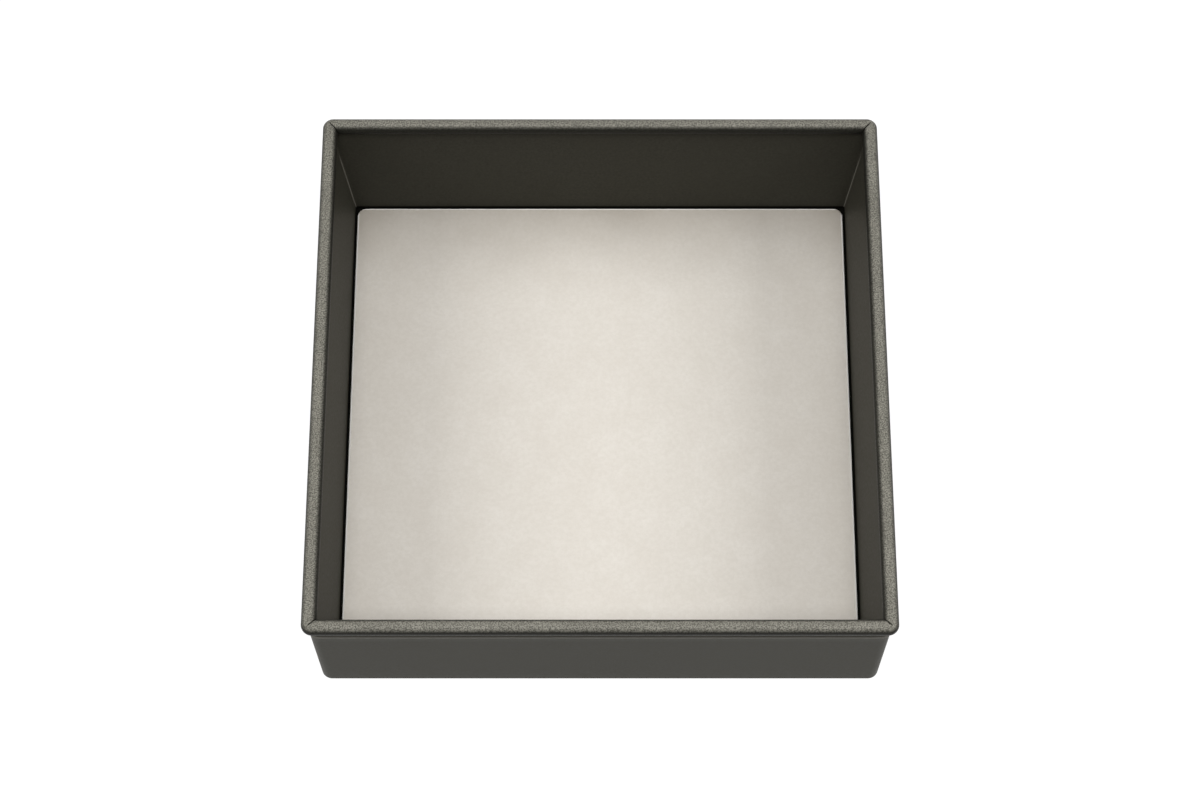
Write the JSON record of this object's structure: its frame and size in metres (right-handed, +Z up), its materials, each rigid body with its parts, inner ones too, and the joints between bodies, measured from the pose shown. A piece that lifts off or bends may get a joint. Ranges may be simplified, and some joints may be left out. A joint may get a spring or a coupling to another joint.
{
  "type": "springform pan",
  "caption": "Square springform cake pan: dark coated band with a wired rim, a loose pale base plate on an inward ledge, and a side lever latch that springs one wall open.",
  "frame": {"origin": "middle of the pan in plan, on the plane of the ledge's underside that the pan stands on", "axes": "+Z up, -Y front, +Y the back wall that carries the latch, +X the wall that opens"},
  "size_m": [0.242, 0.2531, 0.0635],
  "materials": {
    "dark_coating": "satin dark olive grey non-stick coating on steel",
    "pale_coating": "matte warm off-white coating on steel, faintly mottled",
    "plated_steel": "satin nickel-plated steel",
    "pin_steel": "plain bright steel",
    "wire_steel": "drawn steel wire, nickel-plated"
  },
  "bodies": {
    "pan": {"side_band": "dark_coating", "rim_wire": "wire_steel", "lever_bracket": "plated_steel", "lever_pin": "pin_steel"},
    "open_wall": {"right_wall": "dark_coating", "right_rim_wire": "wire_steel", "closure_strap": "dark_coating"},
    "base": {"base_plate": "pale_coating"},
    "lever": {"latch_lever": "plated_steel"},
    "bail": {"latch_bail": "wire_steel"}
  },
  "joints": [
    {"name": "lever_turn", "type": "hinge", "parent": "pan", "child": "lever", "pos_m": [0.052, 0.12405, 0.031], "axis": [0, 0, -1], "range_deg": [0, 100]},
    {"name": "bail_turn", "type": "hinge", "parent": "lever", "child": "bail", "pos_m": [0.0445, 0.12405, 0.031], "axis": [0, 0, -1], "range_deg": [-91, 0]},
    {"name": "wall_open", "type": "hinge", "parent": "pan", "child": "open_wall", "pos_m": [0.1155, -0.1155, 0.031], "axis": [0, 0, -1], "range_deg": [0, 1.95]},
    {"name": "base_lift", "type": "slide", "parent": "pan", "child": "base", "axis": [0, 0, 1], "range_m": [0, 0.075]}
  ],
  "couplings": [
    {"joint": "bail_turn", "follows": "lever_turn", "ratio": -0.91},
    {"joint": "wall_open", "follows": "lever_turn", "ratio": 0.0195}
  ]
}
